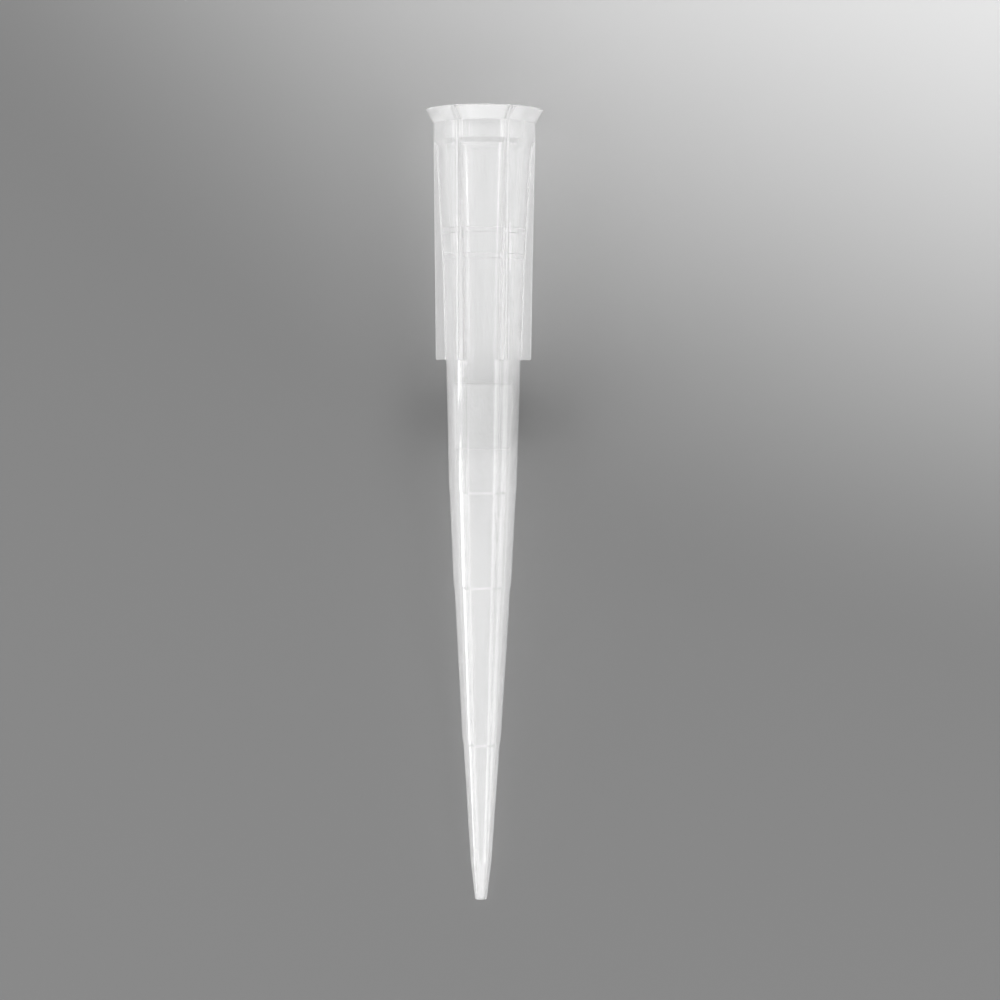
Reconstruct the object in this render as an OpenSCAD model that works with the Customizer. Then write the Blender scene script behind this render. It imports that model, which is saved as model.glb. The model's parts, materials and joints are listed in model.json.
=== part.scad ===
// Filter pipette tip, lying at rest on its side.
// Millimetres, +Z up, mouth towards +Y. The origin is on the surface it lies on,
// at the middle of the length and width that it covers there.
//
// Each piece is drawn upright first, on the Z axis: the end of the point is at z = 0
// and the rim at z = length. A depth is a distance down from the rim, and a height
// is a distance up from the end of the point. Diameters are outside ones, and the
// bore follows them one wall further in, as in a tip moulded with an even wall.

/* [Overall] */
// Length from the rim to the end of the point
length = 50; // [48:0.5:62]
// Wall from the mouth down to the top volume mark
wall = 0.35; // [0.25:0.01:0.45]
// Wall where the steeper end starts, reached by an even taper from the top mark
point_wall = 0.2; // [0.15:0.01:0.25]
// Wall at the end of the point
end_wall = 0.14; // [0.1:0.01:0.2]

/* [Mouth] */
// Diameter of the rim
rim_d = 7.36; // [6.6:0.02:9]
// Width of the flat face round the rim, which an ejector pushes on
rim_face = 0.22; // [0.15:0.01:0.3]
// Height of the flare, outside
flare_h = 0.88; // [0.6:0.01:1.3]
// Height of the lead-in, inside
lead_in_h = 0.72; // [0.5:0.01:1.2]

/* [Collar] */
// Diameter of the collar
collar_d = 6.4; // [6.2:0.01:6.5]
// Depth of the collar's lower edge
collar_depth = 1.94; // [1.6:0.01:3]
// Height of the slope between the collar and the socket wall
collar_slope_h = 0.31; // [0.2:0.01:0.6]

/* [Nozzle socket] */
// Diameter of the socket wall where the collar ends
socket_d = 5.88; // [5.6:0.01:6.1]
// Diameter of the socket wall at its foot
socket_foot_d = 4.97; // [4.8:0.01:5.4]
// Depth of the socket's foot
socket_depth = 10.2; // [9.8:0.1:12]
// Depth of the first sealing ring's upper edge
seal_depth = 7.35; // [4:0.05:7.9]
// Distance from one sealing ring to the next
seal_pitch = 1.6; // [0.8:0.05:1.9]
// Height of a sealing ring
seal_h = 0.37; // [0.25:0.01:0.4]
// Height of the steep flank at each side of a sealing ring
seal_flank_h = 0.05; // [0.03:0.01:0.1]
// How far a sealing ring stands in from the bore
seal_rise = 0.07; // [0.03:0.005:0.09]

/* [Ribs] */
// Number of ribs
rib_count = 6; // [4:1:9]
// Diameter across the ribs' crests at the collar
rib_top_d = 6.36; // [6.1:0.01:6.38]
// Diameter across the ribs' crests at their feet
rib_foot_d = 6; // [5.5:0.01:6.1]
// Depth of the ribs' feet, which stand on a rack
rib_depth = 15.6; // [13:0.1:17]
// Thickness of a rib at its crest
rib_t = 0.34; // [0.25:0.01:0.6]
// How much thicker a rib is at the root, for draft in the mould
rib_draft = 0.08; // [0:0.01:0.15]

/* [Barrel] */
// Diameter at the ribs' feet
waist_d = 4.67; // [4.5:0.01:4.8]
// Diameter at the filter's foot
seat_d = 4.42; // [4.3:0.01:4.5]

/* [Filter] */
// Distance from the ribs' feet down to the top of the filter
filter_drop = 1.48; // [0.2:0.01:2]
// Height of the filter
filter_h = 4.1; // [3:0.05:5]
// Clearance round the filter
filter_clearance = 0.01; // [0.005:0.005:0.05]
// Broken edge at both ends of the filter
filter_edge = 0.08; // [0.02:0.01:0.2]

/* [Volume marks] */
// Height of the top mark
top_mark_height = 26.08; // [24:0.01:26.5]
// Height of the middle mark
middle_mark_height = 20.08; // [17:0.01:22]
// Height of the bottom mark
bottom_mark_height = 10.03; // [6:0.01:14]
// Diameter just above the top mark
top_mark_d = 4.27; // [4.2:0.01:4.3]
// Diameter just above the middle mark
middle_mark_d = 3.66; // [3.4:0.01:3.8]
// Diameter just above the bottom mark
bottom_mark_d = 2.42; // [2:0.01:2.6]
// How far the wall steps in at the top mark
top_mark_step = 0.04; // [0.01:0.005:0.06]
// How far the wall steps in at the middle mark
middle_mark_step = 0.06; // [0.01:0.005:0.08]
// How far the wall steps in at the bottom mark
bottom_mark_step = 0.06; // [0.01:0.005:0.08]
// Height of the slope that makes a mark
mark_h = 0.16; // [0.1:0.01:0.4]

/* [Point] */
// Height of the steeper end of the point
point_h = 2.47; // [1.5:0.01:4]
// Diameter where the steeper end starts
point_d = 1.33; // [1.1:0.01:1.5]
// Diameter of the end
end_d = 0.76; // [0.6:0.01:1]
// Radius round the end's outer edge
end_round = 0.07; // [0.03:0.01:0.1]

/* [Smoothness] */
// Facets round a full turn, in previews
turn_facets = 96; // [48:12:180]

/* [Hidden] */
$fn = turn_facets;

ARC_STEPS = 4;   // straight steps in the quarter round at the end of the point
ROOT = 0.5;      // share of the wall that a rib's root reaches into, to join it
BALANCE = 2 / 3; // balance point, as a share of the length from the end of the point

shoulder_depth = collar_depth + collar_slope_h;
rib_top_depth = (flare_h + collar_depth) / 2;  // ribs run up into the collar
filter_depth = rib_depth + filter_drop;
seat_depth = filter_depth + filter_h;
marks = [
    [length - top_mark_height, top_mark_d / 2, top_mark_step],
    [length - middle_mark_height, middle_mark_d / 2, middle_mark_step],
    [length - bottom_mark_height, bottom_mark_d / 2, bottom_mark_step],
];
point_depth = length - point_h;
end_r = end_d / 2;

// The socket's outside line, carried on up to the rim for the bore to follow
socket_taper = (socket_d - socket_foot_d) / 2 / (socket_depth - shoulder_depth);
mouth_r = socket_d / 2 + socket_taper * shoulder_depth;

// Barrel outline below the collar, as [depth, radius], then the lines that follow it
barrel_line = concat(
    [
        [0, mouth_r],
        [shoulder_depth, socket_d / 2],
        [socket_depth, socket_foot_d / 2],
        [rib_depth, waist_d / 2],
        [seat_depth, seat_d / 2],
    ],
    [for (mark = marks) [mark[0], mark[1]]],
    [[point_depth, point_d / 2], [length, end_r]]
);
wall_line = [
    [0, wall],
    [marks[0][0], wall],
    [point_depth, point_wall],
    [length, end_wall],
];

function barrel_r(depth) = lookup(depth, barrel_line);
function bore_r(depth) = barrel_r(depth) - lookup(depth, wall_line);

// A point of an outline that is turned round the Z axis
function at(depth, radius) = [radius, length - depth];

// Each mark is a short slope: full size half a slope above it, stepped in below it
mark_outline = [
    for (mark = marks, side = [-1, 1])
        at(mark[0] + side * mark_h / 2, mark[1] - (side > 0 ? mark[2] : 0))
];

// Quarter round at the end of the point, from its side to its end face
end_outline = [
    for (i = [0:ARC_STEPS])
        let (turn = 90 * i / ARC_STEPS)
            [
                end_r - end_round + end_round * cos(turn),
                end_round - end_round * sin(turn),
            ]
];

outside = concat(
    [
        at(0, rim_d / 2),
        at(flare_h, collar_d / 2),
        at(collar_depth, collar_d / 2),
        at(shoulder_depth, socket_d / 2),
        at(socket_depth, socket_foot_d / 2),
        at(rib_depth, waist_d / 2),
        at(seat_depth, seat_d / 2),
    ],
    mark_outline,
    [at(point_depth, point_d / 2)],
    end_outline
);

// Sealing rings: a flat crest between two flanks, a little in from the bore
seal_depths = [seal_depth, seal_depth + seal_pitch];
seal_crest_h = seal_h - 2 * seal_flank_h;
function seal_r(top) = bore_r(top + seal_h / 2) - seal_rise;
function seal_outline(top) = [
    at(top, bore_r(top)),
    at(top + seal_flank_h, seal_r(top)),
    at(top + seal_flank_h + seal_crest_h, seal_r(top)),
    at(top + seal_h, bore_r(top + seal_h)),
];

inside = concat(
    [at(0, rim_d / 2 - rim_face), at(lead_in_h, bore_r(lead_in_h))],
    [for (top = seal_depths, corner = seal_outline(top)) corner],
    [for (i = [2:len(barrel_line) - 1]) at(barrel_line[i][0], bore_r(barrel_line[i][0]))]
);

// Rest: every place on the lowest side, as [height, drop below the tip's own axis].
// The tip stands on the pair, one each side of its balance point, that reaches lowest
// under that point. Two ribs straddle the lowest side and keep it from rolling.
rib_half_pitch = 180 / rib_count;
rib_foot_drop = rib_foot_d / 2 * cos(rib_half_pitch - asin(rib_t / rib_foot_d));
rest_places = concat(
    [for (corner = outside) [corner[1], corner[0]]],
    [[length - rib_depth, rib_foot_drop]]
);
balance_height = length * BALANCE;
rest_pairs = [
    for (up = rest_places, down = rest_places)
        if (up[0] > balance_height && down[0] < balance_height)
            let (slope = (up[1] - down[1]) / (up[0] - down[0]))
                [down[1] + slope * (balance_height - down[0]), slope, down]
];
lowest = max([for (pair = rest_pairs) pair[0]]);
rest_pair = [for (pair = rest_pairs) if (pair[0] == lowest) pair][0];
rest_tilt = atan(rest_pair[1]);
axis_lift = rest_pair[2][1] * cos(rest_tilt) - rest_pair[2][0] * sin(rest_tilt);

// How far the rim and the end of the point reach along Y from z = 0 of the upright tip
mouth_reach = length * cos(rest_tilt) + rim_d / 2 * sin(rest_tilt);
end_reach = end_round - end_round * cos(rest_tilt) + (end_r - end_round) * sin(rest_tilt);

// Lays an upright piece down, so that the lowest side is its own +Y side
module lay_down() {
    translate([0, (end_reach - mouth_reach) / 2, axis_lift])
        rotate([rest_tilt - 90, 0, 0])
            children();
}

module rib_section() {
    crest = collar_d / 2;
    root_t = rib_t + rib_draft;
    polygon([
        [0, -root_t / 2],
        [crest, -rib_t / 2],
        [crest, rib_t / 2],
        [0, root_t / 2],
    ]);
}

// The ring that the ribs fill part of: from inside the wall out to the crests
module rib_ring() {
    root = ROOT * wall;
    rotate_extrude()
        polygon([
            at(rib_depth, waist_d / 2 - root),
            at(rib_depth, rib_foot_d / 2),
            at(collar_depth, rib_top_d / 2),
            at(rib_top_depth, rib_top_d / 2),
            at(rib_top_depth, socket_d / 2 - root),
            at(shoulder_depth, socket_d / 2 - root),
            at(socket_depth, socket_foot_d / 2 - root),
        ]);
}

module ribs() {
    intersection() {
        translate([0, 0, length - rib_depth])
            linear_extrude(height = rib_depth)
                for (i = [0:rib_count - 1])
                    rotate(90 + rib_half_pitch + i * 2 * rib_half_pitch)
                        rib_section();
        rib_ring();
    }
}

module tip_body() {
    color([0.88, 0.9, 0.9, 0.5])
        lay_down()
            union() {
                rotate_extrude()
                    polygon(concat(outside, [for (i = [len(inside) - 1:-1:0]) inside[i]]));
                ribs();
            }
}

module filter_plug() {
    top_r = bore_r(filter_depth) - filter_clearance;
    foot_r = bore_r(seat_depth) - filter_clearance;
    color([0.82, 0.83, 0.83])
        lay_down()
            rotate_extrude()
                polygon([
                    at(filter_depth, 0),
                    at(filter_depth, top_r - filter_edge),
                    at(filter_depth + filter_edge, top_r),
                    at(seat_depth - filter_edge, foot_r),
                    at(seat_depth, foot_r - filter_edge),
                    at(seat_depth, 0),
                ]);
}

tip_body();
filter_plug();
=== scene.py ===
# %% [markdown]
# # A filter pipette tip in Blender
# The object is a thin moulded tube of natural polypropylene, 50 mm long, with a pale
# porous plug pressed into it. Almost nothing on it has a colour of its own. What shows is
# light: bent by the wall, thrown back inside it, and softened by a slight milkiness.
# So this lesson spends its effort on a clean, even mesh, true wall thickness, small
# rounded edges and large soft lamps.

# %% Load the fixed frame
import json
import math

import bmesh
import bpy
import numpy as np
from mathutils import Matrix, Vector


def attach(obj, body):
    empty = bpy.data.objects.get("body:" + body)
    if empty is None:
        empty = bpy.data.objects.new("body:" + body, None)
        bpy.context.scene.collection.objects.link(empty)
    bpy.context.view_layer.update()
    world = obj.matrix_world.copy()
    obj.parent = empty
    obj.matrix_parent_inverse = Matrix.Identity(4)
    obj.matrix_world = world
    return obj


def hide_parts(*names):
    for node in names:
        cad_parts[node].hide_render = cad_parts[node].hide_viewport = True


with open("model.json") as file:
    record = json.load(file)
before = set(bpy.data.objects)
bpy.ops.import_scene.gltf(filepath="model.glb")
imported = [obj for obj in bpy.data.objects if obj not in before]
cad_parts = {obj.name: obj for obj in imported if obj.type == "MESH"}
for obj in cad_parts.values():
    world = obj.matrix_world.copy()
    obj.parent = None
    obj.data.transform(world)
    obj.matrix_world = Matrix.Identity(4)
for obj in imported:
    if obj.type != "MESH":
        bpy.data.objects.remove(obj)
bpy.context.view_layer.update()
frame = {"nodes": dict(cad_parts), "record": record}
MM = 0.001
print("pieces:", sorted(frame["nodes"]))

# %% [markdown]
# ## The tip's own axis
# The tip lies on its side, and its axis rises a little towards the mouth. Shapes that are
# turned on a lathe are easiest to write upright, round the Z axis, so everything is
# modelled upright in millimetres and laid down at the end. The record's mounts say where
# the rim is and which way the axis points. That gives one matrix from upright to lying.

# %% Find the axis, the length and the matrix that lays a mesh down
mounts = {mount["name"]: mount for mount in frame["record"]["mounts"]}
axis = Vector(mounts["ejector_face"]["axis"]).normalized()
rim_centre = Vector(mounts["ejector_face"]["pos_m"])
across = Vector((1, 0, 0))
turn = Matrix((across, axis.cross(across), axis)).transposed().to_4x4()


def mesh_points(piece):
    """A mesh's vertices as an array, in metres."""
    found = np.empty(len(piece.data.vertices) * 3)
    piece.data.vertices.foreach_get("co", found)
    return found.reshape(-1, 3)


body_points = mesh_points(frame["nodes"]["tip_body"])
length = max((rim_centre - Vector(point)).dot(axis) for point in body_points) / MM
upright_to_lying = Matrix.Translation(rim_centre - axis * length * MM) @ turn @ Matrix.Scale(MM, 4)
lying_to_upright = upright_to_lying.inverted()
print("length", round(length, 2), "mm, tilted", round(math.degrees(math.asin(axis.z)), 2), "degrees")

# %% [markdown]
# ## Reading the outline off the CAD node
# The CAD node has the right sizes but only the corners of its outline, and flat facets
# between them. A see-through object needs a finer mesh, because light bends at each facet.
# To keep the two the same size, the outline isn't typed in again: it is read from the
# node's own vertices. Each one is a depth below the rim and a radius. A corner of the
# outline is a circle of vertices that goes all the way round, so places where vertices
# sit on the ribs alone are passed over. Points that lie on a straight run are dropped too.

# %% Read circles of vertices, then keep the corners
DEPTH_STEP = 0.01      # mm, vertices within this depth are one circle
RADIUS_GAP = 0.03      # mm, a wider gap in radius starts another circle
SECTORS = 24           # a circle is cut into these, to see if it is whole
WHOLE = 0.8            # share of them that must hold a vertex
FACING = 0.2           # share of a face's direction that must point out, or in
STRAIGHT = 0.004       # mm, a point this near its neighbours' line is no corner


def circles(name, side):
    """(depth, radius) of each whole circle of vertices whose faces look out (1) or in (-1)."""
    mesh = frame["nodes"][name].data
    rows = {}
    for face in mesh.polygons:
        normal = lying_to_upright.to_3x3() @ face.normal
        for index in face.vertices:
            x, y, z = lying_to_upright @ mesh.vertices[index].co
            radius = math.hypot(x, y)
            if radius and side * (normal.x * x + normal.y * y) > FACING * radius * normal.length:
                rows.setdefault(round((length - z) / DEPTH_STEP), []).append((radius, math.atan2(y, x)))
    found = []
    for step, row in sorted(rows.items()):
        row.sort()
        cuts = [i for i in range(1, len(row)) if row[i][0] - row[i - 1][0] > RADIUS_GAP]
        for start, stop in zip([0] + cuts, cuts + [len(row)]):
            ring = row[start:stop]
            sectors = {int((angle / math.tau + 0.5) * SECTORS) % SECTORS for _, angle in ring}
            if len(sectors) > SECTORS * WHOLE:
                found.append((step * DEPTH_STEP, sum(radius for radius, _ in ring) / len(ring)))
    return found


def corners(points):
    """Drops the points that lie on the straight line between their neighbours."""
    kept = list(points)
    i = 1
    while i < len(kept) - 1:
        (d0, r0), (d1, r1), (d2, r2) = kept[i - 1:i + 2]
        off = abs((d2 - d0) * (r1 - r0) - (r2 - r0) * (d1 - d0)) / math.hypot(d2 - d0, r2 - r0)
        if off < STRAIGHT:
            del kept[i]
        else:
            i += 1
    return kept


outside = corners(circles("tip_body", 1))
inside = corners(circles("tip_body", -1))
print(len(outside), "corners outside, from", outside[0], "to", outside[-1])
print(len(inside), "corners inside, from", inside[0], "to", inside[-1])

# %% [markdown]
# ## Rounding the corners
# A mould never leaves a perfectly sharp edge on plastic, and it is the small rounds that
# catch the light: the fine bright and dark lines across the tip are all edges. Each corner
# of the outline becomes a short arc. Long straight runs are cut into even steps, with one
# extra point close to each corner, so that smooth shading stays true on the straight part.

# %% Soften a line of corners
EDGE = 0.05            # mm, radius of an ordinary moulded edge
TURN_STEP = 16         # degrees of arc to each segment
SLIGHT = 2             # degrees, a bend less than this is left as it is
RUN_STEP = 0.5         # mm between points on a straight run
SUPPORT = 0.05         # mm from a corner to its extra point
MOST_OF_RUN = 0.4      # share of a run that the round at one of its ends may take


def soften(line, edge=EDGE):
    """Rounds the corners of a line of (depth, radius) points and cuts up its straight runs."""
    line = [Vector(point) for point in line]
    rounded = [line[0]]
    for before, corner, after in zip(line, line[1:], line[2:]):
        back = before - corner
        ahead = after - corner
        bend = math.pi - back.angle(ahead)
        if bend < math.radians(SLIGHT):
            rounded.append(corner)
            continue
        setback = min(edge * math.tan(bend / 2), back.length * MOST_OF_RUN, ahead.length * MOST_OF_RUN)
        steps = math.ceil(math.degrees(bend) / TURN_STEP)
        start = corner + back.normalized() * setback
        stop = corner + ahead.normalized() * setback
        for i in range(steps + 1):
            t = i / steps
            rounded.append(start.lerp(corner, t).lerp(corner.lerp(stop, t), t))
    rounded.append(line[-1])
    points = [rounded[0]]
    for start, stop in zip(rounded, rounded[1:]):
        run = (stop - start).length
        if run > 3 * SUPPORT:
            near = start.lerp(stop, SUPPORT / run)
            far = stop.lerp(start, SUPPORT / run)
            pieces = math.ceil((far - near).length / RUN_STEP)
            points += [near.lerp(far, i / pieces) for i in range(pieces + 1)]
        points.append(stop)
    return [tuple(point) for point in points]


END_WALL = 0.14        # mm of plastic round the hole at the very end
END_REACH = 0.1        # mm, corners this near the end give way to one plain edge
outside = [point for point in outside if point[0] < length - END_REACH]
outside.append((length, inside[-1][1] + END_WALL))
lip = (0.0, (outside[0][1] + inside[0][1]) / 2)
tip_end = (length, (outside[-1][1] + inside[-1][1]) / 2)
outer_line = soften([lip] + outside + [tip_end])
inner_line = soften([lip] + inside + [tip_end])
print(len(outer_line), "points outside and", len(inner_line), "inside")

# %% [markdown]
# ## One rib and the wall beside it
# Six thin ribs stand on the socket. They stiffen it, and their feet stand on a rack. The
# tip repeats every 60 degrees, so only one sector is drawn, with its rib in the middle,
# and Geometry Nodes turns six copies into a whole. In cross-section the sector runs along
# the rounded crest, down the flank, through a fillet at the root and along the round wall.
# Every ring of the sector has the same number of points, so the rings join up as a grid.

# %% The rib's sizes, and its cross-section
RIB_COUNT = 6
RIB_TOP = 3.18         # mm, crest radius where the rib comes out of the collar
RIB_FOOT = 3.0         # mm, crest radius at the foot
RIB_END = 15.6         # mm, depth of the foot
RIB_THICK = 0.34       # mm at the crest
RIB_DRAFT = 0.08       # mm thicker at the axis, so that it leaves the mould
RIB_EDGE = 0.08        # mm, round along the crest's two edges
RIB_FILLET = 0.12      # mm, fillet at the root
LOW_RIB = 0.45         # share of a low rib's height that its round or fillet may take
CREST_PLACES = (0, 0.3, 0.65)    # shares of half the crest, for its points
FLANK_PLACES = (0.35, 0.7)       # shares of the way down the flank
ROUND_STEPS = 3
FILLET_STEPS = 4
WALL_STEPS = 8
HALF_PITCH = math.pi / RIB_COUNT
collar_foot = outside[2][0]


def wall_radius(depth):
    """Radius of the outside wall between the ribs."""
    return float(np.interp(depth, *zip(*outside)))


def crest_radius(depth):
    """Radius of a rib's crest."""
    return float(np.interp(depth, (collar_foot, RIB_END), (RIB_TOP, RIB_FOOT)))


def half_sector(wall, crest):
    """Points (angle, radius) from the middle of a rib's crest to the sector's edge."""
    rise = crest - wall
    edge = min(RIB_EDGE, rise * LOW_RIB)
    fillet = min(RIB_FILLET, rise * LOW_RIB)
    top = RIB_THICK / 2
    root = top + RIB_DRAFT / 2 * rise / crest
    places = [share * top for share in CREST_PLACES] + [top - edge]
    points = [(x, math.sqrt(crest ** 2 - x ** 2)) for x in places]
    shoulder = points[-1][1]
    for i in range(1, ROUND_STEPS + 1):
        a = i / ROUND_STEPS * math.pi / 2
        points.append((top - edge + edge * math.sin(a), shoulder - edge + edge * math.cos(a)))
    middle = Vector((root + fillet, math.sqrt((wall + fillet) ** 2 - (root + fillet) ** 2)))
    inward = math.atan2(-middle.y, -middle.x) % math.tau
    flank_top = Vector(points[-1])
    flank_foot = Vector((root, middle.y))
    points += [tuple(flank_top.lerp(flank_foot, share)) for share in FLANK_PLACES]
    for i in range(FILLET_STEPS + 1):
        a = math.pi + i / FILLET_STEPS * (inward - math.pi)
        points.append((middle.x + fillet * math.cos(a), middle.y + fillet * math.sin(a)))
    polar = [(math.atan2(x, y), math.hypot(x, y)) for x, y in points]
    last = polar[-1][0]
    steps = range(1, WALL_STEPS + 1)
    return polar + [(last + (HALF_PITCH - last) * (i / WALL_STEPS), wall) for i in steps]


def whole_sector(half):
    """A half sector and its mirror image, from one edge to the other."""
    return [(-angle, radius) for angle, radius in half[:0:-1]] + half


foot_shape = half_sector(wall_radius(RIB_END), RIB_FOOT)
columns = [angle for angle, radius in foot_shape]
print(len(whole_sector(foot_shape)), "points across a sector")

# %% [markdown]
# ## The rings from the mouth to the point
# Each ring is the sector at one depth. Above the ribs and below them it is a plain arc. At
# the foot the rib stops square: its end face is flat, with a small round at the top edge
# and a small fillet where it meets the cone. Both come from one rule. Each column keeps
# its own radius until a falling ceiling reaches it, and never goes below the wall.

# %% Rings without a rib, and rings round the rib's foot
FOOT_ROUND = 0.05      # mm, round and fillet at the rib's end face
FACE_RING = 0.25       # mm from the crest to a ring across the end face


def plain_ring(depth, radius):
    """A ring without a rib."""
    return [(depth, angle, r) for angle, r in whole_sector([(a, radius) for a in columns])]


def foot_rings(wall):
    """Rings that round the rib's end over, cross its flat face and run into the cone."""
    rings = []
    for i in range(1, ROUND_STEPS + 1):
        a = i / ROUND_STEPS * math.pi / 2
        inset = FOOT_ROUND * (1 - math.cos(a))
        shape = half_sector(wall, RIB_FOOT - inset)
        rings.append((RIB_END - FOOT_ROUND * (1 - math.sin(a)), shape))
    shape = rings[-1][1]
    for ceiling in (RIB_FOOT - FACE_RING, wall + 3 * FOOT_ROUND):
        rings.append((RIB_END, [(angle, min(r, ceiling)) for angle, r in shape]))
    for i in range(ROUND_STEPS + 1):
        a = i / ROUND_STEPS * math.pi / 2
        ceiling = wall + FOOT_ROUND * (1 - math.sin(a))
        depth = RIB_END + FOOT_ROUND * (1 - math.cos(a))
        rings.append((depth, [(angle, max(wall_radius(depth), min(r, ceiling))) for angle, r in shape]))
    return [[(depth, angle, r) for angle, r in whole_sector(shape)] for depth, shape in rings]


print("the foot takes", len(foot_rings(wall_radius(RIB_END))), "rings")

# %% [markdown]
# ## Joining the rings into one closed strip
# The rings are set out in the order of a walk along the skin: from the lip down the
# outside to the point, round its end, and back up the bore to the lip. Each ring is joined
# to the next by four-sided faces, and the last to the first. Where a fillet or a round has
# shrunk to nothing its points fall together, so points that meet are merged at the end.

# %% Build one sector
MERGE = 0.0005         # mm, points nearer than this are one

rings = [plain_ring(depth, radius) for depth, radius in outer_line if depth <= collar_foot]
for depth, radius in outer_line:
    if collar_foot < depth < RIB_END - 2 * FOOT_ROUND:
        shape = half_sector(radius, max(radius, crest_radius(depth)))
        rings.append([(depth, angle, r) for angle, r in whole_sector(shape)])
rings.append([(RIB_END - FOOT_ROUND, angle, r) for angle, r in whole_sector(foot_shape)])
rings += foot_rings(wall_radius(RIB_END))
rings += [plain_ring(depth, radius) for depth, radius in outer_line if depth > RIB_END + 2 * FOOT_ROUND]
rings += [plain_ring(depth, radius) for depth, radius in inner_line[-2:0:-1]]

sector = bmesh.new()
grid = []
for ring in rings:
    row = []
    for depth, angle, radius in ring:
        row.append(sector.verts.new((radius * math.cos(angle), radius * math.sin(angle), length - depth)))
    grid.append(row)
for upper, lower in zip(grid, grid[1:] + grid[:1]):
    for i in range(len(upper) - 1):
        sector.faces.new((upper[i], lower[i], lower[i + 1], upper[i + 1]))
bmesh.ops.remove_doubles(sector, verts=sector.verts, dist=MERGE)
bmesh.ops.dissolve_degenerate(sector, edges=sector.edges, dist=MERGE)
sector_mesh = bpy.data.meshes.new("sector")
sector.to_mesh(sector_mesh)
sector.free()
sector_piece = bpy.data.objects.new("sector", sector_mesh)
print(len(rings), "rings,", len(sector_mesh.polygons), "faces in the sector")

# %% [markdown]
# ## Turning the sector into a tip
# A node tree puts one copy of the sector on each of six points and turns each by its share
# of a full circle. Merge by Distance then welds the copies where they meet, so that the
# tip is one closed skin. Change Count and Sector, and the same tree makes any other
# object that repeats round an axis.

# %% A node tree that repeats a sector round the axis
WELD = 0.0008          # mm between points that become one


def new_tree(name, inputs):
    """A Geometry Nodes tree with a geometry input and output and the named inputs."""
    tree = bpy.data.node_groups.new(name, "GeometryNodeTree")
    tree.interface.new_socket("Geometry", in_out="INPUT", socket_type="NodeSocketGeometry")
    for title, kind in inputs:
        tree.interface.new_socket(title, in_out="INPUT", socket_type=kind)
    tree.interface.new_socket("Geometry", in_out="OUTPUT", socket_type="NodeSocketGeometry")
    return tree, tree.nodes.new("NodeGroupInput"), tree.nodes.new("NodeGroupOutput")


def add(tree, kind, values=(), **settings):
    """A node with its settings, and (socket, value or output) pairs set or linked."""
    node = tree.nodes.new(kind)
    for name, value in settings.items():
        setattr(node, name, value)
    for socket, value in values:
        if isinstance(value, bpy.types.NodeSocket):
            tree.links.new(value, node.inputs[socket])
        else:
            node.inputs[socket].default_value = value
    return node


def grown(name, start_mesh, tree, inputs):
    """Runs a node tree on a mesh and returns its result as a plain mesh object."""
    source = bpy.data.objects.new(name + "_source", start_mesh)
    bpy.context.scene.collection.objects.link(source)
    modifier = source.modifiers.new("nodes", "NODES")
    modifier.node_group = tree
    for item in tree.interface.items_tree:
        if item.item_type == "SOCKET" and item.in_out == "INPUT" and item.name in inputs:
            modifier[item.identifier] = inputs[item.name]
    depsgraph = bpy.context.evaluated_depsgraph_get()
    mesh = bpy.data.meshes.new_from_object(source.evaluated_get(depsgraph))
    mesh.name = name
    bpy.data.objects.remove(source)
    piece = bpy.data.objects.new(name, mesh)
    bpy.context.scene.collection.objects.link(piece)
    return piece


around, given, result = new_tree("repeat_round_axis", [
    ("Sector", "NodeSocketObject"), ("Count", "NodeSocketInt"),
    ("Weld", "NodeSocketFloat"), ("Material", "NodeSocketMaterial")])
wanted = add(around, "GeometryNodeObjectInfo", [("Object", given.outputs["Sector"])])
spots = add(around, "GeometryNodePoints", [("Count", given.outputs["Count"])])
share = add(around, "ShaderNodeMath", [(0, math.tau), (1, given.outputs["Count"])], operation="DIVIDE")
number = add(around, "GeometryNodeInputIndex")
angle = add(around, "ShaderNodeMath", [(0, share.outputs[0]), (1, number.outputs[0])], operation="MULTIPLY")
turned = add(around, "ShaderNodeCombineXYZ", [("Z", angle.outputs[0])])
copies = add(around, "GeometryNodeInstanceOnPoints", [
    ("Points", spots.outputs[0]), ("Instance", wanted.outputs["Geometry"]), ("Rotation", turned.outputs[0])])
real = add(around, "GeometryNodeRealizeInstances", [("Geometry", copies.outputs[0])])
welded = add(around, "GeometryNodeMergeByDistance", [
    ("Geometry", real.outputs[0]), ("Distance", given.outputs["Weld"])])
finish = add(around, "GeometryNodeSetMaterial", [
    ("Geometry", welded.outputs[0]), ("Material", given.outputs["Material"])])
around.links.new(finish.outputs[0], result.inputs["Geometry"])
print("tree", around.name, "has", len(around.nodes), "nodes")

# %% [markdown]
# ## The porous filter
# The plug is sintered polyethylene: tiny beads of plastic heated until they only just
# stick. It lets air through and holds droplets back. Its size is read from the CAD node.
# A lathe shape gives the smooth plug. It could be a cylinder with a bump in its material,
# but then its outline would stay smooth, so it is cut finely enough for real beads.

# %% Turn the smooth plug
PLUG_AROUND = 216      # points round the plug
PLUG_STEP = 0.06       # mm between rings, a few for each bead


def turned_mesh(name, line, count):
    """Turns a line of (depth, radius) points round the axis. A radius of 0 closes an end."""
    made = bmesh.new()
    loops = []
    for depth, radius in line:
        steps = count if radius > MERGE else 1
        loops.append([made.verts.new((
            radius * math.cos(i * math.tau / steps),
            radius * math.sin(i * math.tau / steps),
            length - depth)) for i in range(steps)])
    for upper, lower in zip(loops, loops[1:]):
        for i in range(count):
            j = (i + 1) % count
            left = [upper[i % len(upper)], lower[i % len(lower)]]
            right = [lower[j % len(lower)], upper[j % len(upper)]]
            made.faces.new(list(dict.fromkeys(left + right)))
    bmesh.ops.recalc_face_normals(made, faces=made.faces)
    mesh = bpy.data.meshes.new(name)
    made.to_mesh(mesh)
    made.free()
    return mesh


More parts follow.
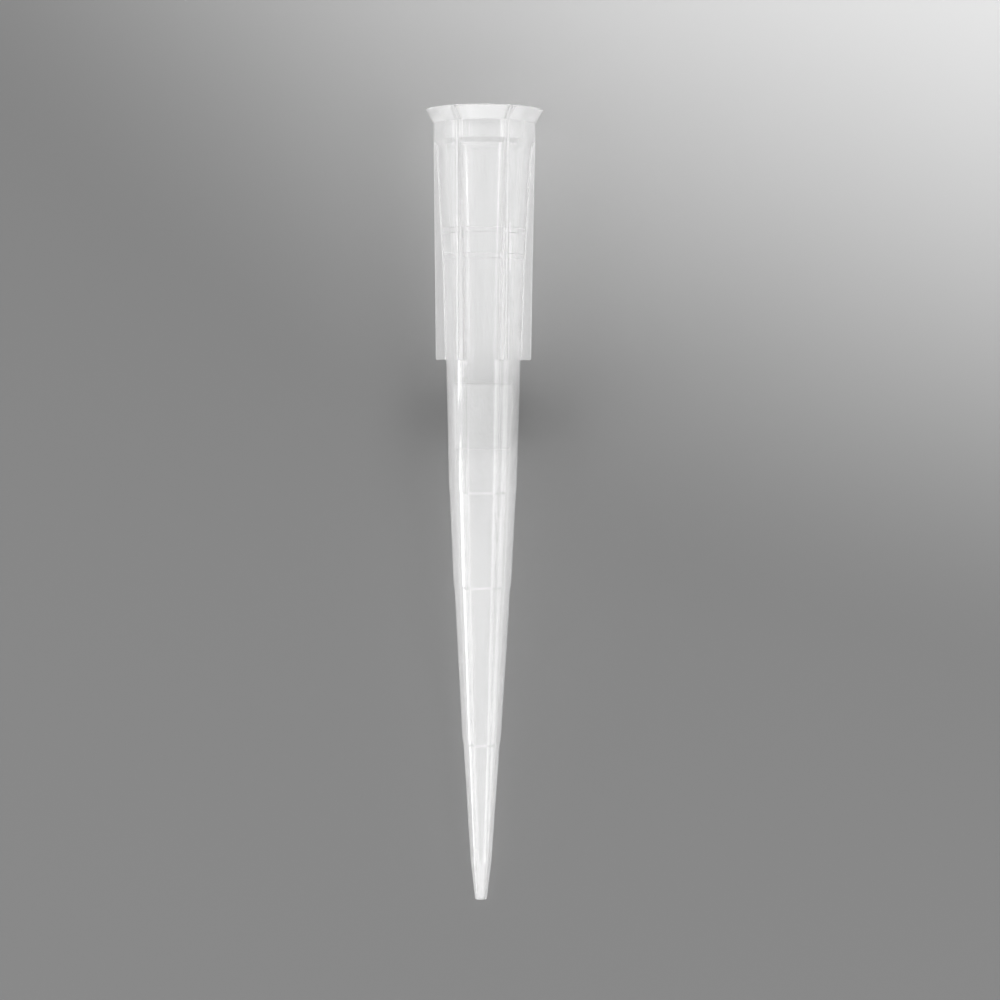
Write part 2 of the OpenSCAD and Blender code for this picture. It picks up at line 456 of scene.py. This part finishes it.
plug = corners(circles("filter_plug", 1))
plug_line = [(plug[0][0], 0.0)]
for start, stop in zip(plug_line + plug, plug + [(plug[-1][0], 0.0)]):
    run = math.dist(start, stop)
    pieces = max(1, round(run / PLUG_STEP))
    for i in range(1, pieces + 1):
        t = i / pieces
        plug_line.append((start[0] + (stop[0] - start[0]) * t, start[1] + (stop[1] - start[1]) * t))
smooth_plug = turned_mesh("smooth_plug", plug_line, PLUG_AROUND)
print("plug from", plug[0], "to", plug[-1], "in", len(smooth_plug.polygons), "faces")

# %% [markdown]
# ## Beads
# A node tree presses each point inwards by a cell pattern, so that the surface is packed
# beads and the gaps between them. Points only ever move inwards, so the plug keeps clear
# of the wall that it sits in. The pattern has a fixed seed, and another gives other beads.

# %% A node tree that presses beads into a surface
BEAD = 0.16            # mm across one bead
PIT = 0.035            # mm, how far the gaps between beads go in
BEAD_SEED = 4.0

beads, given, result = new_tree("sintered_beads", [
    ("Bead", "NodeSocketFloat"), ("Pit", "NodeSocketFloat"),
    ("Seed", "NodeSocketFloat"), ("Material", "NodeSocketMaterial")])
density = add(beads, "ShaderNodeMath", [(0, 1.0), (1, given.outputs["Bead"])], operation="DIVIDE")
cells = add(beads, "ShaderNodeTexVoronoi", [
    ("W", given.outputs["Seed"]), ("Scale", density.outputs[0])], voronoi_dimensions="4D")
press = add(beads, "ShaderNodeMath", [
    (0, cells.outputs["Distance"]), (1, given.outputs["Pit"])], operation="MULTIPLY")
inwards = add(beads, "ShaderNodeMath", [(0, press.outputs[0]), (1, -1.0)], operation="MULTIPLY")
facing = add(beads, "GeometryNodeInputNormal")
move = add(beads, "ShaderNodeVectorMath", [
    (0, facing.outputs[0]), ("Scale", inwards.outputs[0])], operation="SCALE")
pressed = add(beads, "GeometryNodeSetPosition", [
    ("Geometry", given.outputs["Geometry"]), ("Offset", move.outputs[0])])
whole = add(beads, "GeometryNodeRealizeInstances", [("Geometry", pressed.outputs[0])])
finish = add(beads, "GeometryNodeSetMaterial", [
    ("Geometry", whole.outputs[0]), ("Material", given.outputs["Material"])])
beads.links.new(finish.outputs[0], result.inputs["Geometry"])
print("tree", beads.name, "has", len(beads.nodes), "nodes")

# %% [markdown]
# ## A grain that both plastics share
# Moulded plastic is never quite even. Slow changes in its milkiness follow the way it
# flowed, and a finer grain stands on its surface. Both materials use the same effect at
# different sizes, so it is one shader node group. It gives back a shade for the colour, a
# share for the roughness and a height for the bump, and the shaders stay outside it.

# %% The shared grain group
grain = bpy.data.node_groups.new("plastic_grain", "ShaderNodeTree")
for title, kind, value in (("Vector", "NodeSocketVector", None), ("Cloud size", "NodeSocketFloat", 1.0),
                           ("Grain size", "NodeSocketFloat", 0.1), ("Darkest", "NodeSocketFloat", 0.9)):
    socket = grain.interface.new_socket(title, in_out="INPUT", socket_type=kind)
    if value:
        socket.default_value = value
for title in ("Shade", "Unevenness", "Height"):
    grain.interface.new_socket(title, in_out="OUTPUT", socket_type="NodeSocketFloat")
given = grain.nodes.new("NodeGroupInput")
result = grain.nodes.new("NodeGroupOutput")
cloud_scale = add(grain, "ShaderNodeMath", [(0, 1.0), (1, given.outputs["Cloud size"])], operation="DIVIDE")
grain_scale = add(grain, "ShaderNodeMath", [(0, 1.0), (1, given.outputs["Grain size"])], operation="DIVIDE")
clouds = add(grain, "ShaderNodeTexNoise", [
    ("Vector", given.outputs["Vector"]), ("Scale", cloud_scale.outputs[0]), ("Detail", 3.0)])
grains = add(grain, "ShaderNodeTexNoise", [
    ("Vector", given.outputs["Vector"]), ("Scale", grain_scale.outputs[0]), ("Detail", 2.0)])
shade = add(grain, "ShaderNodeMapRange", [
    ("Value", clouds.outputs[0]), ("From Min", 0.3), ("From Max", 0.7),
    ("To Min", given.outputs["Darkest"]), ("To Max", 1.0)])
unevenness = add(grain, "ShaderNodeMath", [
    (0, clouds.outputs[0]), (1, grains.outputs[0])], operation="MULTIPLY")
grain.links.new(shade.outputs[0], result.inputs["Shade"])
grain.links.new(unevenness.outputs[0], result.inputs["Unevenness"])
grain.links.new(grains.outputs[0], result.inputs["Height"])
print("group", grain.name, "has", len(grain.nodes), "nodes")

# %% [markdown]
# ## Natural polypropylene
# Without pigment, polypropylene is neither clear nor white. Crystals too small to see
# scatter part of the light and let the rest through. A volume shader could say that, but
# it is slow and noisy in so thin a wall. Here each surface of the wall does it: most of
# the Principled BSDF is transmission, with the index of polypropylene, and the rest is a
# white body colour. A look through the tube crosses four surfaces, so it looks nearly
# white while lines on its far side still show. A glass-like shader casts a hard black
# shadow in Cycles, so shadow rays see a mostly transparent surface instead.

# %% The polypropylene material
CLEAR = 0.75           # share of the surface that acts as clear, the rest as milky
PP_INDEX = 1.49
PP_WHITE = 0.96        # how white its milkiness is
PP_ROUGH = (0.03, 0.07)    # least and most
PP_RIPPLE = 0.004      # mm, how deep the ripple of its skin is
RIPPLE_SHARE = 0.04    # how much of that the bump uses
SHADOW_TINT = 0.9      # what one surface leaves of a lamp's light
STREAK = 14            # how many times longer the flow marks are than wide


def new_material(name):
    """An empty node material and its output node."""
    material = bpy.data.materials.new(name)
    material.use_nodes = True
    material.node_tree.nodes.clear()
    return material, material.node_tree, material.node_tree.nodes.new("ShaderNodeOutputMaterial")


def upright_coordinates(tree, stretch):
    """Object coordinates turned upright with the tip, in mm, drawn out along its axis."""
    place = tree.nodes.new("ShaderNodeTexCoord")
    return add(tree, "ShaderNodeMapping", [
        ("Vector", place.outputs["Object"]),
        ("Location", upright_to_lying.translation),
        ("Rotation", turn.to_euler()),
        ("Scale", (MM, MM, MM * stretch))], vector_type="TEXTURE")


def grey(tree, shade):
    """A value as a neutral colour."""
    return add(tree, "ShaderNodeCombineColor", [("Red", shade), ("Green", shade), ("Blue", shade)])


plastic, tree, output = new_material("natural_polypropylene")
flow = upright_coordinates(tree, STREAK)
marks = add(tree, "ShaderNodeGroup", [
    ("Vector", flow.outputs[0]), ("Cloud size", 0.9),
    ("Grain size", 0.12), ("Darkest", 0.93)], node_tree=grain)
white = add(tree, "ShaderNodeMath", [
    (0, marks.outputs["Shade"]), (1, PP_WHITE)], operation="MULTIPLY")
body_colour = grey(tree, white.outputs[0])
rough = add(tree, "ShaderNodeMapRange", [
    ("Value", marks.outputs["Unevenness"]), ("From Min", 0.1), ("From Max", 0.4),
    ("To Min", PP_ROUGH[0]), ("To Max", PP_ROUGH[1])])
ripple = add(tree, "ShaderNodeBump", [
    ("Height", marks.outputs["Height"]), ("Strength", RIPPLE_SHARE), ("Distance", PP_RIPPLE * MM)])
skin = add(tree, "ShaderNodeBsdfPrincipled", [
    ("Base Color", body_colour.outputs[0]), ("Roughness", rough.outputs[0]),
    ("Normal", ripple.outputs[0]), ("IOR", PP_INDEX), ("Transmission Weight", CLEAR)])
rays = tree.nodes.new("ShaderNodeLightPath")
pass_through = add(tree, "ShaderNodeBsdfTransparent", [
    ("Color", (SHADOW_TINT, SHADOW_TINT, SHADOW_TINT, 1))])
either = add(tree, "ShaderNodeMixShader", [
    (0, rays.outputs["Is Shadow Ray"]), (1, skin.outputs[0]), (2, pass_through.outputs[0])])
tree.links.new(either.outputs[0], output.inputs["Surface"])
print(plastic.name, "has", len(tree.nodes), "nodes")

# %% [markdown]
# ## Sintered polyethylene
# The filter is dull, since every bead scatters light. Its own colour is white, but behind
# the bright milky wall it is seen as a pale grey block, so its colour is painted a middle
# grey: painted shade for the dimmer light that reaches it behind the wall. Its beads are
# real shape. The material adds darker patches at random and a grain finer than the mesh.

# %% The filter's material
# Painted shade: the filter's white is darkened to a middle grey for the dim light behind the wall.
FILTER_SHADED_GREY = 0.5     # its lightest shade
FILTER_ROUGH = (0.75, 0.95)      # least and most
FILTER_INDEX = 1.5
PORE_DEPTH = 0.01      # mm
PORE_SHARE = 0.6       # how much of that the bump uses

sintered, tree, output = new_material("sintered_polyethylene")
place = upright_coordinates(tree, 1)
marks = add(tree, "ShaderNodeGroup", [
    ("Vector", place.outputs[0]), ("Cloud size", 0.3),
    ("Grain size", 0.04), ("Darkest", 0.85)], node_tree=grain)
# The filter's colour: its painted-shade grey, times a random tone.
white = add(tree, "ShaderNodeMath", [
    (0, marks.outputs["Shade"]), (1, FILTER_SHADED_GREY)], operation="MULTIPLY")
painted_shade_bead_colour = grey(tree, white.outputs[0])
rough = add(tree, "ShaderNodeMapRange", [
    ("Value", marks.outputs["Unevenness"]), ("To Min", FILTER_ROUGH[0]), ("To Max", FILTER_ROUGH[1])])
pores = add(tree, "ShaderNodeBump", [
    ("Height", marks.outputs["Height"]), ("Strength", PORE_SHARE), ("Distance", PORE_DEPTH * MM)])
skin = add(tree, "ShaderNodeBsdfPrincipled", [
    ("Base Color", painted_shade_bead_colour.outputs[0]), ("Roughness", rough.outputs[0]),
    ("Normal", pores.outputs[0]), ("IOR", FILTER_INDEX)])
tree.links.new(skin.outputs[0], output.inputs["Surface"])
print(sintered.name, "has", len(tree.nodes), "nodes")

# %% [markdown]
# ## Growing both pieces and laying them down
# The trees run on the sector and on the smooth plug. The result is a plain mesh, so the
# one matrix from the start lays it down, and each piece takes over from its CAD node.

# %% Make the two pieces
tip = grown("tip_moulding", bpy.data.meshes.new("start"), around, {
    "Sector": sector_piece, "Count": RIB_COUNT, "Weld": WELD, "Material": plastic})
bpy.data.objects.remove(sector_piece)
filter_piece = grown("filter", smooth_plug, beads, {
    "Bead": BEAD, "Pit": PIT, "Seed": BEAD_SEED, "Material": sintered})
for piece, node, slot in ((tip, "tip_body", "tip_plastic"), (filter_piece, "filter_plug", "filter")):
    piece.data.transform(upright_to_lying)
    piece.data.shade_smooth()
    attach(piece, "root")
    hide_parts(node)
    print(piece.name, len(piece.data.polygons), "faces")

# %% [markdown]
# ## The floor
# The tip lies on a plain pale sheet, which lights it softly from below. A white tip on a
# white sheet can hardly be seen, so rays that come straight from the camera find a grey
# card instead, which is painted paler towards one corner: a painted pool of light. Rays
# that the tip mirrors or lets through find the card too, so the plastic shows the same grey
# behind it as lies round it. The card is an ordinary matt surface, so the tip's soft shadow falls on it.

# %% Lay the floor
FLOOR_HALF = 2.0       # m
FLOOR_GAP = 0.01       # mm below the tip, so that the two never share a surface

ground = bmesh.new()
bmesh.ops.create_grid(ground, x_segments=2, y_segments=2, size=FLOOR_HALF)
floor_mesh = bpy.data.meshes.new("floor")
ground.to_mesh(floor_mesh)
ground.free()
floor_mesh.transform(Matrix.Translation((0, 0, -FLOOR_GAP * MM)))
floor = bpy.data.objects.new("floor", floor_mesh)
bpy.context.scene.collection.objects.link(floor)
print("floor", FLOOR_HALF * 2, "m across")

# %% Colour it
SHEET = 0.9            # the pale sheet
# The card's pale corner is painted light: a pool of light painted into its colour, not lit by a lamp.
CARD_DARK = 0.25       # the card, far from its pale corner
CARD_PAINTED_LIGHT = 0.97       # and in it
PAINTED_LIGHT_CENTRE = (62, 120)    # mm from the origin
PAINTED_LIGHT_REACH = 134       # mm from there to where the card is dark
PAINTED_LIGHT_FADE = 55         # mm over which it changes

sheet, tree, output = new_material("floor_sheet")
place = tree.nodes.new("ShaderNodeTexCoord")
away = add(tree, "ShaderNodeVectorMath", [
    (0, place.outputs["Object"]), (1, (PAINTED_LIGHT_CENTRE[0] * MM, PAINTED_LIGHT_CENTRE[1] * MM, 0))], operation="DISTANCE")
# Painted light: the card turns paler the nearer it lies to one point, a painted pool of light.
rise = add(tree, "ShaderNodeMapRange", [
    ("Value", away.outputs["Value"]), ("From Min", PAINTED_LIGHT_REACH * MM),
    ("From Max", (PAINTED_LIGHT_REACH - PAINTED_LIGHT_FADE) * MM)], interpolation_type="SMOOTHSTEP")
painted_light_ramp = add(tree, "ShaderNodeValToRGB", [("Fac", rise.outputs[0])])
painted_light_ramp.color_ramp.elements[0].color = (CARD_DARK, CARD_DARK, CARD_DARK, 1)
painted_light_ramp.color_ramp.elements[1].color = (CARD_PAINTED_LIGHT, CARD_PAINTED_LIGHT, CARD_PAINTED_LIGHT, 1)
card = add(tree, "ShaderNodeBsdfDiffuse", [("Color", painted_light_ramp.outputs[0])])
paper = add(tree, "ShaderNodeBsdfDiffuse", [("Color", (SHEET, SHEET, SHEET, 1))])
rays = tree.nodes.new("ShaderNodeLightPath")
seen_or_mirrored = add(tree, "ShaderNodeMath", [
    (0, rays.outputs["Is Camera Ray"]), (1, rays.outputs["Is Glossy Ray"])], operation="MAXIMUM")
or_let_through = add(tree, "ShaderNodeMath", [
    (0, seen_or_mirrored.outputs[0]), (1, rays.outputs["Is Transmission Ray"])], operation="MAXIMUM")
surface = add(tree, "ShaderNodeMixShader", [
    (0, or_let_through.outputs[0]), (1, paper.outputs[0]), (2, card.outputs[0])])
tree.links.new(surface.outputs[0], output.inputs["Surface"])
floor.data.materials.append(sheet)
print(sheet.name, "has", len(tree.nodes), "nodes")

# %% [markdown]
# ## Light
# A glossy tube shows each lamp as a line along its length. How far out the line lies says
# where the lamp is: a lamp at angle a from the eye shows at sin(a / 2) of the radius. So a
# narrow lamp almost level with the floor on the left makes a bright line two thirds of the
# way out, and wide ones higher up make broad soft bands. The lamps on the left leave a gap,
# so that they aren't mirrored over the filter. The bright line stops below the ribs. Two
# lamps beyond the mouth light the head, and one beyond the point lights marks and rings.

# %% A helper for soft lamps
LAMP_REACH = 0.4       # m from the floor under the tip to each lamp


def softbox(name, angle, width, ends, level, turned=0):
    """A lamp beside the tip, angle degrees from straight above and as wide as width degrees.

    It runs between two places along the tip, in metres. It can then be turned round the
    upright axis by some degrees, to stand at one end instead. At the same level, a wide
    lamp is as bright to look at as a narrow one, and so gives more light."""
    lamp = bpy.data.lights.new(name, "AREA")
    lamp.shape = "RECTANGLE"
    lamp.size = 2 * LAMP_REACH * math.tan(math.radians(width / 2))
    lamp.size_y = ends[1] - ends[0]
    lamp.energy = level * math.pi * lamp.size * lamp.size_y
    holder = bpy.data.objects.new(name, lamp)
    bpy.context.scene.collection.objects.link(holder)
    a = math.radians(angle)
    place = Vector((LAMP_REACH * math.sin(a), sum(ends) / 2, LAMP_REACH * math.cos(a)))
    holder.location = Matrix.Rotation(math.radians(turned), 3, "Z") @ place
    holder.rotation_euler = (0, a, math.radians(turned))
    print(name, "gives", round(lamp.energy, 3), "W")


# %% Place the lamps
LOW_GAP = (-0.031, -0.0185)      # m, the stretch of the low lamp that the filter would show
BANK_GAP = (-0.046, -0.024)      # m, the same of the wide one above it
BELOW_RIBS = -0.006    # m, up to here a low lamp shows below the ribs only
HEAD = (0.11, 0.3)     # m, beyond the mouth

# degrees from straight above, degrees wide, where it starts and ends in m, level
softbox("left_low", -80, 10, (-0.25, LOW_GAP[0]), 9)
softbox("left_low_waist", -80, 10, (LOW_GAP[1], BELOW_RIBS), 9)
softbox("left_bank", -60, 28, (-0.2, BANK_GAP[0]), 2.4)
softbox("left_bank_upper", -60, 28, (BANK_GAP[1], HEAD[0]), 2.4)
softbox("right_bank", 48, 20, (-0.2, HEAD[0]), 2.8)
softbox("right_low", 78, 18, (-0.16, 0.002), 2)
softbox("head_left", -56, 16, HEAD, 2.4)
softbox("head_right", 56, 16, HEAD, 2.4)
softbox("point_bank", -45, 36, (-0.4, 0.4), 1.5, turned=90)

# %% [markdown]
# ## The sky, and how deep light goes
# A weak white sky fills the shadows. It is a little weaker beyond the tip's two ends,
# where lamps of their own stand. Light is bent and mirrored many times in thin walls
# before it leaves them, and a ray that is given up too soon adds black. So the number
# of times that a ray may be bent, mirrored or scattered is raised.

# %% Make the sky and raise the bounces
SKY_MIDDLE = 0.37      # the sky's level straight across the tip
SKY_ENDS = 0.28        # and beyond the tip's two ends
SKY_TURN = 0.5         # how far towards the ends it has fallen to that, from 0 to 1

world = bpy.data.worlds.new("sky")
world.use_nodes = True
tree = world.node_tree
way = tree.nodes.new("ShaderNodeTexCoord")
parts = add(tree, "ShaderNodeSeparateXYZ", [("Vector", way.outputs["Generated"])])
along = add(tree, "ShaderNodeMath", [(0, parts.outputs["Y"])], operation="ABSOLUTE")
fade = add(tree, "ShaderNodeMapRange", [
    ("Value", along.outputs[0]), ("From Max", SKY_TURN), ("To Min", SKY_MIDDLE), ("To Max", SKY_ENDS)])
tree.nodes["Background"].inputs["Color"].default_value = (1, 1, 1, 1)
tree.links.new(fade.outputs[0], tree.nodes["Background"].inputs["Strength"])
bpy.context.scene.world = world
bpy.context.scene.view_settings.view_transform = "Standard"
bpy.context.scene.cycles.max_bounces = 40
bpy.context.scene.cycles.glossy_bounces = 32
bpy.context.scene.cycles.transmission_bounces = 32
bpy.context.scene.cycles.diffuse_bounces = 8
print("sky level", SKY_MIDDLE, "in the middle and", SKY_ENDS, "at the ends")

# %% [markdown]
# ## The camera
# It looks straight down on the tip, as on something that lies on a table, with a long lens
# so that the thin tip hardly narrows with distance. It is turned a little round the tip's
# own axis, which puts the ribs slightly to one side.

# %% Place the camera
SENSOR = 36            # mm
LENS = 80.6            # mm
EYE_HEIGHT = 0.1439    # m from the floor under the tip
ASIDE = 1.015          # mm, to centre the tip's picture
ALONG = 0.44           # mm
SWING = 2.0            # degrees round the tip's axis
ROLL = 0.41            # degrees round the line of sight
CLIP = (0.005, 10)     # m, nothing nearer or farther is drawn

look = Vector((math.sin(math.radians(SWING)), 0, math.cos(math.radians(SWING))))
up = Matrix.Rotation(math.radians(ROLL), 3, look) @ Vector((0, 1, 0))
side = up.cross(look).normalized()
camera = bpy.data.objects.new("camera", bpy.data.cameras.new("camera"))
bpy.context.scene.collection.objects.link(camera)
camera.data.lens = LENS
camera.data.sensor_width = SENSOR
camera.data.clip_start = CLIP[0]
camera.data.clip_end = CLIP[1]
camera.location = look * EYE_HEIGHT + side * ASIDE * MM + Vector((0, ALONG * MM, 0))
camera.rotation_mode = "QUATERNION"
camera.rotation_quaternion = Matrix((side, look.cross(side), look)).transposed().to_quaternion()
bpy.context.scene.camera = camera
print("camera at", [round(c, 4) for c in camera.location])
